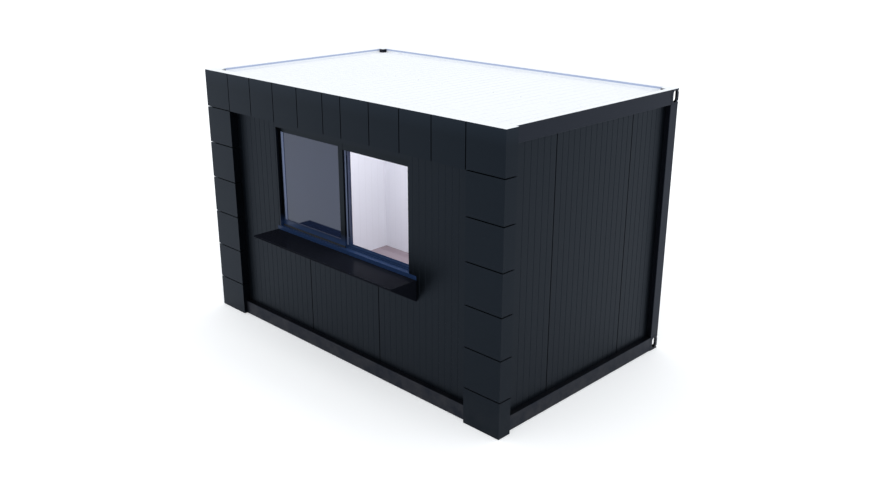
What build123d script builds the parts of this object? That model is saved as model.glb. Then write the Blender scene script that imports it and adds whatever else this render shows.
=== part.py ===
from build123d import *
import os

# Sales container: a steel frame with recessed ribbed wall panels, folded cladding
# cassettes round the front, a sliding serving window and a steel counter shelf.
# Lengths are in millimetres. +X runs along the front to the right, +Y to the back, +Z up.
# While it is built, y = 0 is the front face of the steel frame and x = 0 its middle.

# Steel frame
FRAME_LENGTH = 4000
FRAME_DEPTH = 2400
FRAME_HEIGHT = 2600
STEEL = 4
POST_WIDTH = 120
RAIL_HEIGHT = 140
RAIL_LIFT = 5
RAIL_FOOT = 60
RIM_WIDTH = 60
ROOF_RECESS = 40

# Corner castings
CASTING_WALL = 8
SLOT_WIDTH = 56
SLOT_HEIGHT = 114
FOOT_SLOT_LENGTH = 98
FOOT_SLOT_WIDTH = 62
NOTCH_RADIUS = 11
NOTCH_SIDES = 8
NOTCH_INSET = 22

# Wall panels
WALL_RECESS = 50
PANEL_THICKNESS = 70
LINING_THICKNESS = 10
FIT = 0.3
FRONT_PANEL_WIDTH = 1000
FRONT_PANEL_SHIFT = -12
SIDE_PANEL_WIDTH = 1070
SIDE_PANEL_SHIFT = 20
JOINT_GAP = 10
JOINT_DEPTH = 14
RIB_PITCH = 78
RIB_WIDTH = 10
RIB_DEPTH = 1.6

# Floor and roof
JOIST_PITCH = 400
JOIST_WIDTH = 50
JOIST_STEEL = 3
PURLIN_PITCH = 800
DECK_TOP = 150
DECK_THICKNESS = 22
SHEET = 2
CEILING_THICKNESS = 60
ROOF_RIB_PITCH = 100
ROOF_RIB_HEIGHT = 4
ROOF_RIB_WIDTH = 22
CAPPING = 2

# Cladding cassettes
CLAD_DEPTH = 30
CLAD_SHEET = 2
CLAD_JOINT = 10
CLAD_LIFT = 3
COLUMN_WIDTH = 405
COLUMN_WRAP = 140
FASCIA_HEIGHT = 380
CASSETTE_WIDTH = 375
CASSETTE_HEIGHT = 376
CASSETTE_LIP = 25

# Serving window
WINDOW_WIDTH = 1860
WINDOW_SHIFT = -39
WINDOW_BOTTOM = 1138
WINDOW_TOP = 2150
REVEAL_SHEET = 3
SASH_SETBACK = 38
SASH_DEPTH = 22
SASH_GAP = 6
SASH_FOOT = 8
SASH_TOP_RAIL = 48
SASH_BOTTOM_RAIL = 62
SASH_STILE = 24
MEETING_STILE = 62
INNER_STILE = 20
SASH_SLIDE = 52
GLASS = 6
GLASS_REBATE = 8
SEAL_WIDTH = 34
SEAL_DEPTH = 5
TRACK_HEIGHT = 5
TRACK_WIDTH = 4
GUIDE_GAP = 2
GUIDE_DROP = 72
GUIDE_RISE = 29

# Counter shelf
COUNTER_LENGTH = 2000
COUNTER_SHIFT = -14
COUNTER_DEPTH = 300
COUNTER_TOP = 1100
COUNTER_SHEET = 5
BRACKET_DROP = 198
BRACKET_NOSE = 8
UPSTAND_SHEET = 2

# Door in the back wall
DOOR_END_GAP = 490
DOOR_WIDTH = 875
DOOR_HEIGHT = 2000
DOOR_FRAME_WIDTH = 45
DOOR_LEAF_THICKNESS = 40
DOOR_GAP = 4
DOOR_SETBACK = 20
DOOR_DRIP_DEPTH = 22
DOOR_DRIP_HEIGHT = 4
HINGE_RADIUS = 8
HINGE_HEIGHT = 96
HINGE_INSET = 250
HINGE_FLAG_WIDTH = 30
HINGE_FLAG_SHEET = 2
HANDLE_HEIGHT = 1050
HANDLE_LENGTH = 125
HANDLE_RADIUS = 9
HANDLE_STANDOFF = 42
HANDLE_INSET = 50
PLATE_WIDTH = 40
PLATE_LENGTH = 220
PLATE_DEPTH = 8
PLATE_DROP = 36

# How far a cutting shape runs past the face that it cuts
OVERCUT = 1

# Worked out from the sizes above
half_length = FRAME_LENGTH / 2
rail_top = RAIL_LIFT + RAIL_HEIGHT
eaves = FRAME_HEIGHT - RAIL_HEIGHT
wall_face = WALL_RECESS
lining_face = WALL_RECESS + PANEL_THICKNESS
room_face = lining_face + LINING_THICKNESS
room_left = -half_length + room_face
room_right = half_length - room_face
room_back = FRAME_DEPTH - room_face
clad_front = -CLAD_DEPTH
clad_side = half_length + CLAD_DEPTH
fascia_bottom = FRAME_HEIGHT - FASCIA_HEIGHT
window_left = WINDOW_SHIFT - WINDOW_WIDTH / 2
window_right = WINDOW_SHIFT + WINDOW_WIDTH / 2
outer_sash_front = wall_face + SASH_SETBACK
inner_sash_front = outer_sash_front + SASH_DEPTH + SASH_GAP
guide_front = outer_sash_front + SASH_DEPTH + GUIDE_GAP
guide_back = inner_sash_front + SASH_DEPTH
guide_sill = WINDOW_BOTTOM + GUIDE_RISE
guide_head = WINDOW_TOP - GUIDE_DROP
counter_front = wall_face - COUNTER_DEPTH
counter_left = COUNTER_SHIFT - COUNTER_LENGTH / 2
counter_right = counter_left + COUNTER_LENGTH
door_right = half_length - DOOR_END_GAP
door_left = door_right - DOOR_WIDTH
door_top = DECK_TOP + DOOR_HEIGHT
capping_under = FRAME_HEIGHT - CAPPING
roof_level = FRAME_HEIGHT - ROOF_RECESS
depth_centre = (FRAME_DEPTH + counter_front) / 2


def block(x0, x1, y0, y1, z0, z1):
    """A rectangular block between two corners."""
    size = Box(x1 - x0, y1 - y0, z1 - z0)
    return Pos((x0 + x1) / 2, (y0 + y1) / 2, (z0 + z1) / 2) * size


def frame_pieces(outer, inner, y0, y1):
    """A rectangular ring in the XZ plane, from y0 to y1; each outline is (x0, x1, z0, z1)."""
    body = block(outer[0], outer[1], y0, y1, outer[2], outer[3])
    hole = block(inner[0], inner[1], y0 - OVERCUT, y1 + OVERCUT, inner[2], inner[3])
    return body - hole


def outline(points):
    """A flat face inside a closed line of straight edges."""
    return make_face(Polyline(*points, close=True))


def folded_sheet(inner_line, thickness, bend=Kind.INTERSECTION):
    """The section of a folded sheet: its inner line, thickened outwards."""
    line = Polyline(*inner_line)
    return make_face(offset(line, thickness, kind=bend, side=Side.RIGHT, closed=True))


def along_x(section, x0, x1):
    """Extrude a (y, z) section from x0 to x1."""
    return extrude(Plane.YZ.offset(x0) * section, x1 - x0)


def along_z(section, z0, z1):
    """Extrude an (x, y) section from z0 to z1."""
    return extrude(Plane.XY.offset(z0) * section, z1 - z0)


def mirrored_x(shape):
    """The same piece on the other end of the container."""
    return mirror(shape, about=Plane.YZ)


def mirrored_y(shape):
    """The same piece on the other long side of the frame."""
    return mirror(shape, about=Plane.XZ.offset(-FRAME_DEPTH / 2))


def turned_to_side(shape):
    """Turn a piece drawn for the front so that it lies on the left side."""
    return Pos(-half_length, FRAME_DEPTH / 2, 0) * Rot(0, 0, -90) * shape


# Steel frame

def bottom_rail(length):
    """An open rail: outer web, wide top flange that carries the wall, folded foot."""
    foot = RAIL_LIFT + STEEL
    seat = rail_top - STEEL
    section = folded_sheet(
        [(lining_face, seat), (STEEL, seat), (STEEL, foot), (RAIL_FOOT, foot)], STEEL, Kind.ARC
    )
    return along_x(section, -length / 2, length / 2)


def top_rail(length):
    """An open rail: outer web, flange over the wall, rim flange with a lip down to the roof."""
    lip = RIM_WIDTH - STEEL
    rim = capping_under - STEEL
    seat = eaves + STEEL
    inner_line = [(lip, roof_level), (lip, rim), (STEEL, rim), (STEEL, seat), (lining_face, seat)]
    section = folded_sheet(inner_line, STEEL, Kind.ARC)
    return along_x(section, -length / 2, length / 2)


def corner_post():
    """A folded post at the front left corner, with returns back to both walls."""
    near = -half_length + STEEL
    far = -half_length + POST_WIDTH - STEEL
    back = POST_WIDTH - STEEL
    inner_line = [
        (-half_length + wall_face, back), (near, back), (near, STEEL), (far, STEEL), (far, wall_face),
    ]
    section = folded_sheet(inner_line, STEEL, Kind.ARC)
    return along_z(section, rail_top, eaves)


def foot_slot():
    """The rounded hole through the underside of the front left bottom casting."""
    middle = Pos(-half_length + POST_WIDTH / 2, POST_WIDTH / 2, 0)
    reach = CASTING_WALL + OVERCUT
    return middle * extrude(SlotOverall(FOOT_SLOT_LENGTH, FOOT_SLOT_WIDTH), reach, both=True)


def corner_casting(low, high):
    """A hollow corner box with rounded slots in its two outer faces."""
    height = high - low
    half = POST_WIDTH / 2
    reach = CASTING_WALL + OVERCUT
    body = Box(POST_WIDTH, POST_WIDTH, height)
    inside = POST_WIDTH - 2 * CASTING_WALL
    body -= Box(inside, inside, height - 2 * CASTING_WALL)
    slot = Rot(0, 0, 90) * SlotOverall(SLOT_HEIGHT, SLOT_WIDTH)
    body -= Pos(0, -half, 0) * extrude(Plane.XZ * slot, reach, both=True)
    body -= Pos(-half, 0, 0) * extrude(Plane.YZ * slot, reach, both=True)
    notch = extrude(Plane.YZ * RegularPolygon(NOTCH_RADIUS, NOTCH_SIDES), reach, both=True)
    for z in (NOTCH_INSET - height / 2, height / 2 - NOTCH_INSET):
        body -= Pos(-half, -half, z) * notch
    return Pos(-half_length + half, half, (low + high) / 2) * body


def four_corners(piece):
    """A piece drawn at the front left corner, at all four corners."""
    left = [piece, mirrored_y(piece)]
    return left + [mirrored_x(one) for one in left]


# Floor

def row_of_channels(pitch, low, high):
    """Folded channels from rail to rail, evenly spaced along the container."""
    near = JOIST_STEEL
    far = JOIST_WIDTH
    inner = [(far, high - near), (near, high - near), (near, low + near), (far, low + near)]
    count = int((room_right - room_left) // pitch)
    start = -(count - 1) * pitch / 2
    section = Plane.XZ.offset(-STEEL) * folded_sheet(inner, JOIST_STEEL)
    channel = extrude(section, 2 * STEEL - FRAME_DEPTH)
    return [Pos(start + step * pitch, 0, 0) * channel for step in range(count)]


def floor_joists():
    """Folded joists that span from rail to rail under the floor sheet."""
    low = RAIL_LIFT + STEEL
    high = DECK_TOP - DECK_THICKNESS - SHEET
    return row_of_channels(JOIST_PITCH, low, high)


def floor_layer(z0, z1):
    """A layer of the floor that fills the room from wall to wall."""
    return block(room_left, room_right, room_face, room_back, z0, z1)


# Roof

def roof_sheet():
    """The outer roof sheet with pressed ribs, notched round the castings."""
    edge = half_length - STEEL
    points = [(-edge, roof_level - SHEET), (-edge, roof_level)]
    count = int(2 * (edge - POST_WIDTH) // ROOF_RIB_PITCH)
    start = -(count - 1) * ROOF_RIB_PITCH / 2
    underside = []
    for step in range(count):
        x = start + step * ROOF_RIB_PITCH
        foot = ROOF_RIB_WIDTH / 2
        crown = foot - ROOF_RIB_HEIGHT
        rib = [(x - foot, 0), (x - crown, ROOF_RIB_HEIGHT), (x + crown, ROOF_RIB_HEIGHT), (x + foot, 0)]
        points += [(px, roof_level + pz) for px, pz in rib]
        underside += [(px, roof_level - SHEET + pz) for px, pz in rib]
    points += [(edge, roof_level), (edge, roof_level - SHEET)] + underside[::-1]
    first = RIM_WIDTH + FIT
    sheet = extrude(Plane.XZ.offset(-first) * outline(points), 2 * first - FRAME_DEPTH)
    low = roof_level - 2 * SHEET
    inner = half_length - RIM_WIDTH - FIT
    keep = block(-inner, inner, first, FRAME_DEPTH - first, low, FRAME_HEIGHT)
    sheet = sheet & keep
    for corner in four_corners(casting_clearance(low)):
        sheet -= corner
    return sheet


def casting_clearance(z0):
    """The space that a corner casting needs in the roof, with its fit."""
    reach = POST_WIDTH + FIT
    x0 = -half_length
    return block(x0, x0 + reach, 0, reach, z0, FRAME_HEIGHT)


def casting_cover():
    """The part of the flashing that lies on a corner casting."""
    x0 = -half_length
    return block(x0, x0 + POST_WIDTH, 0, POST_WIDTH, capping_under, FRAME_HEIGHT)


def roof_capping():
    """The white flashing over the rim, the castings and the top of the cladding."""
    ring = block(-half_length, half_length, 0, FRAME_DEPTH, capping_under, FRAME_HEIGHT)
    wrap = clad_front + COLUMN_WRAP
    ring += block(-clad_side, clad_side, clad_front, wrap, capping_under, FRAME_HEIGHT)
    inner = half_length - RIM_WIDTH
    tray = (RIM_WIDTH, FRAME_DEPTH - RIM_WIDTH, capping_under - OVERCUT, FRAME_HEIGHT + OVERCUT)
    ring -= block(-inner, inner, *tray)
    for pad in four_corners(casting_cover()):
        ring += pad
    for flange in capping_flanges():
        ring += flange
    return ring


def capping_flanges():
    """The edges of the flashing that are folded down inside the rim, between the castings."""
    low = roof_level + ROOF_RIB_HEIGHT + FIT
    end = half_length - POST_WIDTH
    side = half_length - RIM_WIDTH
    front = block(-end, end, RIM_WIDTH, RIM_WIDTH + CAPPING, low, FRAME_HEIGHT)
    left = block(-side, CAPPING - side, POST_WIDTH, FRAME_DEPTH - POST_WIDTH, low, FRAME_HEIGHT)
    return [front, mirrored_y(front), left, mirrored_x(left)]


def roof_purlins():
    """Flat bearers between the ceiling and the roof sheet."""
    return row_of_channels(PURLIN_PITCH, eaves + STEEL, roof_level - SHEET)


# Wall panels

def grooves(x0, x1, face, pitch, width, depth):
    """Points along a face with evenly spaced pressed grooves; depth is along +Y."""
    count = max(2, round((x1 - x0) / pitch))
    half = width / 2
    floor = half - abs(depth)
    points = []
    for step in range(1, count):
        x = x0 + step * (x1 - x0) / count
        points += [(x - half, face), (x - floor, face + depth)]
        points += [(x + floor, face + depth), (x + half, face)]
    return points


def ribbed_panel(x0, x1, z0, z1, left_joint, right_joint):
    """A wall panel with pressed grooves in its outer face and a rebate at each open joint."""
    face = wall_face
    back = wall_face + PANEL_THICKNESS
    rebate = JOINT_GAP / 2 - FIT / 2
    points = [(x0, back)]
    if left_joint:
        points += [(x0, face + JOINT_DEPTH), (x0 + rebate, face + JOINT_DEPTH), (x0 + rebate, face)]
    else:
        points += [(x0, face)]
    points += grooves(x0, x1, face, RIB_PITCH, RIB_WIDTH, RIB_DEPTH)
    if right_joint:
        points += [(x1 - rebate, face), (x1 - rebate, face + JOINT_DEPTH), (x1, face + JOINT_DEPTH)]
    else:
        points += [(x1, face)]
    points += [(x1, back)]
    return along_z(outline(points), z0, z1)


def panel_row(half_run, width, shift):
    """Three panels between the corners: the middle one is a full panel."""
    left = shift - width / 2
    right = shift + width / 2
    top = eaves - FIT
    return [
        ribbed_panel(-half_run, left - FIT / 2, rail_top, top, False, True),
        ribbed_panel(left + FIT / 2, right - FIT / 2, rail_top, top, True, True),
        ribbed_panel(right + FIT / 2, half_run, rail_top, top, True, False),
    ]


def window_hole(top):
    """The hole for the window and its reveal, through panel and lining, up to a given height."""
    return block(
        window_left - REVEAL_SHEET, window_right + REVEAL_SHEET, 0, room_face + OVERCUT,
        WINDOW_BOTTOM - REVEAL_SHEET, top,
    )


def window_lintel():
    """The plain panel over the window, from end to end of its hole."""
    left = window_left - REVEAL_SHEET + FIT
    right = window_right + REVEAL_SHEET - FIT
    low = WINDOW_TOP + REVEAL_SHEET
    return block(left, right, wall_face, lining_face, low, eaves - FIT)


def door_hole():
    """The hole for the door, drawn in the front wall's place and used on the mirrored back."""
    return block(
        door_left - DOOR_FRAME_WIDTH, door_right + DOOR_FRAME_WIDTH, 0, room_face + OVERCUT,
        0, door_top + DOOR_FRAME_WIDTH,
    )


def front_walls():
    """The front panels, cut for the window and the lintel over it."""
    left, middle, right = panel_row(half_length - WALL_RECESS, FRONT_PANEL_WIDTH, FRONT_PANEL_SHIFT)
    hole = window_hole(FRAME_HEIGHT)
    return left - hole, middle - hole, window_lintel(), right - hole


def back_walls():
    """The back panels, cut for the door."""
    left, middle, right = panel_row(half_length - WALL_RECESS, FRONT_PANEL_WIDTH, FRONT_PANEL_SHIFT)
    hole = door_hole()
    return [mirrored_y(panel - hole) for panel in (left, middle, right)]


def side_walls():
    """The panels of the left side, between the front and back walls."""
    half_run = FRAME_DEPTH / 2 - lining_face - FIT
    row = panel_row(half_run, SIDE_PANEL_WIDTH, -SIDE_PANEL_SHIFT)
    return [turned_to_side(one) for one in row]


def long_lining():
    """The white inner lining of the front wall, before it is cut."""
    end = half_length - lining_face - FIT
    return block(-end, end, lining_face, room_face, rail_top, eaves - FIT)


def side_lining():
    """The lining of the left side, between the front and back linings."""
    x0 = -half_length + lining_face
    y0 = room_face + FIT
    return block(x0, x0 + LINING_THICKNESS, y0, FRAME_DEPTH - y0, rail_top, eaves - FIT)


# Cladding cassettes

def fascia_cassette(x0, x1):
    """A folded pan: face, side lips, top lip and a bottom return that reaches the wall."""
    low = fascia_bottom + CLAD_SHEET
    high = capping_under - CLAD_SHEET
    back = clad_front + CLAD_SHEET
    section = folded_sheet([(0, high), (back, high), (back, low), (wall_face, low)], CLAD_SHEET)
    pan = along_x(section, x0, x1)
    lip = clad_front + CASSETTE_LIP
    pan += block(x0, x0 + CLAD_SHEET, back, lip, low, high)
    pan += block(x1 - CLAD_SHEET, x1, back, lip, low, high)
    return pan


def fascia_cassettes():
    """The row of cassettes between the corners; a narrow one takes up the middle."""
    start = -clad_side + COLUMN_WIDTH
    side_count = int((clad_side - COLUMN_WIDTH) // CASSETTE_WIDTH)
    half_gap = CLAD_JOINT / 2
    cassettes = []
    for step in range(side_count):
        x = start + step * CASSETTE_WIDTH
        cassettes.append(fascia_cassette(x + half_gap, x + CASSETTE_WIDTH - half_gap))
    middle = start + side_count * CASSETTE_WIDTH
    mirrored = [mirrored_x(one) for one in cassettes[::-1]]
    return cassettes + [fascia_cassette(middle + half_gap, -middle - half_gap)] + mirrored


def corner_cassette(z0, z1):
    """A folded pan that wraps round the front left corner, with returns to wall and post."""
    near = -clad_side + CLAD_SHEET
    far = -clad_side + COLUMN_WIDTH - CLAD_JOINT / 2 - CLAD_SHEET
    front = clad_front + CLAD_SHEET
    back = clad_front + COLUMN_WRAP - CLAD_SHEET
    section = folded_sheet(
        [(-half_length, back), (near, back), (near, front), (far, front), (far, wall_face)],
        CLAD_SHEET,
    )
    pan = along_z(section, z0, z1)
    for z in (z0, z1 - CLAD_SHEET):
        pan += block(near, far, front, clad_front + CASSETTE_LIP, z, z + CLAD_SHEET)
        pan += block(near, -clad_side + CASSETTE_LIP, front, back, z, z + CLAD_SHEET)
    for low, high in ((0, rail_top + FIT), (eaves - FIT, FRAME_HEIGHT)):
        pan -= block(far, far + CLAD_SHEET + OVERCUT, 0, wall_face + OVERCUT, low, high)
    return pan


def column_cassettes():
    """The corner cassette of the fascia and the column of cassettes below it."""
    half_gap = CLAD_JOINT / 2
    pans = [corner_cassette(fascia_bottom + half_gap, capping_under)]
    top = fascia_bottom
    while top > CASSETTE_HEIGHT:
        low = max(top - CASSETTE_HEIGHT, 0)
        pans.append(corner_cassette(low + half_gap, top - half_gap))
        top = low
    pans.append(corner_cassette(CLAD_LIFT, top - half_gap))
    return pans


# Serving window

def window_reveal():
    """The black folded liner of the window hole, with the outer sash's track on its sill."""
    t = REVEAL_SHEET
    outer = (window_left - t, window_right + t, WINDOW_BOTTOM - t, WINDOW_TOP + t)
    inner = (window_left, window_right, WINDOW_BOTTOM, WINDOW_TOP)
    liner = frame_pieces(outer, inner, wall_face, room_face)
    return liner + sash_track(outer_sash_front, WINDOW_BOTTOM)


def sash_track(front, seat):
    """The upright track that a sash runs on, from its seat up into the sash's groove."""
    y0 = front + SASH_DEPTH / 2 - TRACK_WIDTH / 2
    top = seat + SASH_FOOT + TRACK_HEIGHT
    return block(window_left, window_right, y0, y0 + TRACK_WIDTH, seat, top)


def inner_guides():
    """The raised sill and the lowered head that the inner sash runs between."""
    span = (window_left, window_right, guide_front, guide_back)
    sill = block(*span, WINDOW_BOTTOM, guide_sill) + sash_track(inner_sash_front, guide_sill)
    return [sill, block(*span, guide_head, WINDOW_TOP)]


def sash(x0, x1, front, seat, head, left_stile, right_stile):
    """A sliding sash: a ring of flat profiles with a rebate for the glass and a track groove."""
    z0 = seat + SASH_FOOT
    z1 = head - FIT
    opening = (x0 + left_stile, x1 - right_stile, z0 + SASH_BOTTOM_RAIL, z1 - SASH_TOP_RAIL)
    ring = frame_pieces((x0, x1, z0, z1), opening, front, front + SASH_DEPTH)
    middle = front + SASH_DEPTH / 2
    half_glass = GLASS / 2 + FIT
    ring -= block(
        opening[0] - GLASS_REBATE, opening[1] + GLASS_REBATE, middle - half_glass, middle + half_glass,
        opening[2] - GLASS_REBATE, opening[3] + GLASS_REBATE,
    )
    half_track = TRACK_WIDTH / 2 + FIT
    groove = (middle - half_track, middle + half_track, z0 - OVERCUT, z0 + TRACK_HEIGHT + FIT)
    ring -= block(x0 - OVERCUT, x1 + OVERCUT, *groove)
    return ring


def glass_pane(x0, x1, front, seat, head, left_stile, right_stile):
    """The pane of a sash, held in its rebate."""
    grip = GLASS_REBATE - FIT
    y0 = front + SASH_DEPTH / 2 - GLASS / 2
    z0 = seat + SASH_FOOT + SASH_BOTTOM_RAIL - grip
    z1 = head - FIT - SASH_TOP_RAIL + grip
    return block(x0 + left_stile - grip, x1 - right_stile + grip, y0, y0 + GLASS, z0, z1)


def outer_sash_span():
    """The outer sash fills the left half, with its meeting stile on the window's middle."""
    return window_left + FIT, WINDOW_SHIFT + MEETING_STILE / 2


def inner_sash_span():
    """The inner sash has slid behind the outer one and shows past its meeting stile."""
    x0, x1 = outer_sash_span()
    return x0 + SASH_SLIDE, x1 + SASH_SLIDE


def seal_strips():
    """Pale brush seals: beside the left jamb and behind the meeting stile."""
    z0 = WINDOW_BOTTOM + SASH_FOOT + SASH_BOTTOM_RAIL + FIT
    z1 = WINDOW_TOP - SASH_TOP_RAIL - 2 * FIT
    x0, x1 = outer_sash_span()
    left = x0 + SASH_STILE
    y = outer_sash_front + SASH_DEPTH / 2 - GLASS / 2
    jamb_seal = block(left, left + SEAL_WIDTH, y - SEAL_DEPTH, y, z0, z1)
    y = outer_sash_front + SASH_DEPTH
    z0 = guide_sill + FIT
    z1 = guide_head - FIT
    meeting_seal = block(x1 - SEAL_WIDTH / 2, x1 + SEAL_WIDTH / 2, y, y + SEAL_DEPTH, z0, z1)
    return [jamb_seal, meeting_seal]


# Counter shelf

def counter_top():
    """A folded steel shelf: a flat top and a flange down the wall."""
    t = COUNTER_SHEET
    under = COUNTER_TOP - t
    inset = t + FIT
    low = COUNTER_TOP - BRACKET_DROP
    shelf = block(counter_left, counter_right, counter_front, wall_face, under, COUNTER_TOP)
    flange = block(counter_left + inset, counter_right - inset, wall_face - t, wall_face, low, under)
    return shelf + flange


def counter_upstand():
    """A thin flashing on the wall from the shelf up to the window's sill."""
    y0 = wall_face - UPSTAND_SHEET
    return block(counter_left, counter_right, y0, wall_face, COUNTER_TOP, WINDOW_BOTTOM)


def counter_bracket(x0):
    """A triangular end plate under the shelf."""
    top = COUNTER_TOP - COUNTER_SHEET
    low = COUNTER_TOP - BRACKET_DROP
    profile = [
        (wall_face, top), (counter_front, top), (counter_front, top - BRACKET_NOSE), (wall_face, low),
    ]
    return along_x(outline(profile), x0, x0 + COUNTER_SHEET)


def counter_brackets():
    """One end plate at each end of the shelf."""
    return [counter_bracket(counter_left), counter_bracket(counter_right - COUNTER_SHEET)]


# Door, drawn as seen from the front wall and mirrored to the back

def door_frame():
    """A steel frame round the door, with a threshold on the floor rail and a drip edge on its head."""
    w = DOOR_FRAME_WIDTH
    outer = (door_left - w + FIT, door_right + w - FIT, rail_top, door_top + w - FIT)
    inner = (door_left, door_right, DECK_TOP + DOOR_GAP, door_top)
    frame = frame_pieces(outer, inner, wall_face, room_face)
    low = door_top + w - FIT - DOOR_DRIP_HEIGHT
    frame += block(outer[0], outer[1], wall_face - DOOR_DRIP_DEPTH, wall_face, low, outer[3])
    return mirrored_y(frame)


def door_leaf():
    """A flat closed leaf, set back a little in its frame."""
    y0 = wall_face + DOOR_SETBACK
    leaf = block(
        door_left + DOOR_GAP, door_right - DOOR_GAP, y0, y0 + DOOR_LEAF_THICKNESS,
        DECK_TOP + DOOR_GAP + FIT, door_top - DOOR_GAP,
    )
    return mirrored_y(leaf)


def door_hinge(z):
    """A hinge barrel with a flag on the frame."""
    x = door_left - HINGE_RADIUS
    hinge = Pos(x, wall_face - HINGE_RADIUS, z) * Cylinder(HINGE_RADIUS, HINGE_HEIGHT)
    flag = (wall_face - HINGE_FLAG_SHEET, wall_face, z - HINGE_HEIGHT / 2, z + HINGE_HEIGHT / 2)
    hinge += block(x - HINGE_FLAG_WIDTH, x, *flag)
    return mirrored_y(hinge)


def door_hinges():
    """One hinge near the door's foot and one near its head."""
    return [door_hinge(DECK_TOP + HINGE_INSET), door_hinge(door_top - HINGE_INSET)]


def door_handle():
    """A lever on a long plate."""
    x = door_right - HANDLE_INSET
    face = wall_face + DOOR_SETBACK
    plate = Pos(x, face - PLATE_DEPTH / 2, HANDLE_HEIGHT - PLATE_DROP)
    plate = plate * Box(PLATE_WIDTH, PLATE_DEPTH, PLATE_LENGTH)
    neck = Pos(x, face - HANDLE_STANDOFF / 2, HANDLE_HEIGHT) * Rot(90, 0, 0)
    neck = neck * Cylinder(HANDLE_RADIUS, HANDLE_STANDOFF)
    grip = Pos(x - HANDLE_LENGTH / 2, face - HANDLE_STANDOFF, HANDLE_HEIGHT) * Rot(0, 90, 0)
    grip = grip * Cylinder(HANDLE_RADIUS, HANDLE_LENGTH)
    return mirrored_y(plate + neck + grip)


def save(name, *pieces):
    """Write one named piece, or like pieces that share a name, as one file."""
    solids = []
    for piece in pieces:
        solids += list(piece.solids())
    placed = [Pos(0, -depth_centre, 0) * one for one in solids]
    shape = placed[0] if len(placed) == 1 else Compound(children=placed)
    export_step(shape, os.path.join("parts", name + ".step"))


def save_frame():
    """Rails, posts and castings."""
    long_run = FRAME_LENGTH - 2 * POST_WIDTH
    short_run = FRAME_DEPTH - 2 * POST_WIDTH
    for name, maker in (("bottom_rail", bottom_rail), ("top_rail", top_rail)):
        save(name + "_front", maker(long_run))
        save(name + "_back", mirrored_y(maker(long_run)))
        side = turned_to_side(maker(short_run))
        save(name + "_left", side)
        save(name + "_right", mirrored_x(side))
    post = corner_post()
    save("corner_post_front_left", post)
    save("corner_post_front_right", mirrored_x(post))
    save("corner_post_back_left", mirrored_y(post))
    save("corner_post_back_right", mirrored_x(mirrored_y(post)))
    bottom_casting = corner_casting(0, rail_top) - foot_slot()
    save("corner_castings_bottom", *four_corners(bottom_casting))
    save("corner_castings_top", *four_corners(corner_casting(eaves, capping_under)))


def save_floor_and_roof():
    """Joists, floor layers, ceiling, purlins, roof sheet and capping."""
    deck_under = DECK_TOP - DECK_THICKNESS
    save("floor_joists", *floor_joists())
    save("floor_sheet", floor_layer(deck_under - SHEET, deck_under))
    save("floor_deck", floor_layer(deck_under, DECK_TOP))
    ceiling_low = eaves + STEEL - CEILING_THICKNESS
    save("ceiling_panel", floor_layer(ceiling_low, eaves + STEEL))
    save("roof_purlins", *roof_purlins())
    save("roof_sheet", roof_sheet())
    save("roof_capping", roof_capping())


def save_walls():
    """Outer panels and inner linings."""
    left, below, above, right = front_walls()
    save("front_wall_left", left)
    save("front_wall_below_window", below)
    save("front_wall_above_window", above)
    save("front_wall_right", right)
    left, middle, right = back_walls()
    save("back_wall_left", left)
    save("back_wall_middle", middle)
    save("back_wall_right", right)
    panels = side_walls()
    save("left_wall_panels", *panels)
    save("right_wall_panels", *[mirrored_x(one) for one in panels])
    save("front_lining", long_lining() - window_hole(WINDOW_TOP + REVEAL_SHEET))
    save("back_lining", mirrored_y(long_lining() - door_hole()))
    save("left_lining", side_lining())
    save("right_lining", mirrored_x(side_lining()))


def save_cladding():
    """Fascia and the two corner columns."""
    column = column_cassettes()
    save("fascia_cassettes", *fascia_cassettes())
    save("left_column_cassettes", *column)
    save("right_column_cassettes", *[mirrored_x(one) for one in column])


def save_window_and_counter():
    """Reveal, guides, sashes, glass, seals and the counter shelf."""
    save("window_reveal", window_reveal())
    save("inner_guides", *inner_guides())
    outer_levels = (outer_sash_front, WINDOW_BOTTOM, WINDOW_TOP)
    inner_levels = (inner_sash_front, guide_sill, guide_head)
    outer = (*outer_sash_span(), *outer_levels, SASH_STILE, MEETING_STILE)
    inner = (*inner_sash_span(), *inner_levels, MEETING_STILE, INNER_STILE)
    save("outer_sash", sash(*outer))
    save("inner_sash", sash(*inner))
    save("outer_glass", glass_pane(*outer))
    save("inner_glass", glass_pane(*inner))
    save("window_seals", *seal_strips())
    save("counter_top", counter_top())
    save("counter_upstand", counter_upstand())
    save("counter_brackets", *counter_brackets())


def save_door():
    """Frame, leaf, hinges and handle of the back door."""
    save("door_frame", door_frame())
    save("door_leaf", door_leaf())
    save("door_hinges", *door_hinges())
    save("door_handle", door_handle())


os.makedirs("parts", exist_ok=True)
save_frame()
save_floor_and_roof()
save_walls()
save_cladding()
save_window_and_counter()
save_door()
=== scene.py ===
from math import radians

import bmesh
import bpy
from bpy.props import FloatProperty, FloatVectorProperty, IntProperty, PointerProperty
from mathutils import Matrix, Vector


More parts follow.
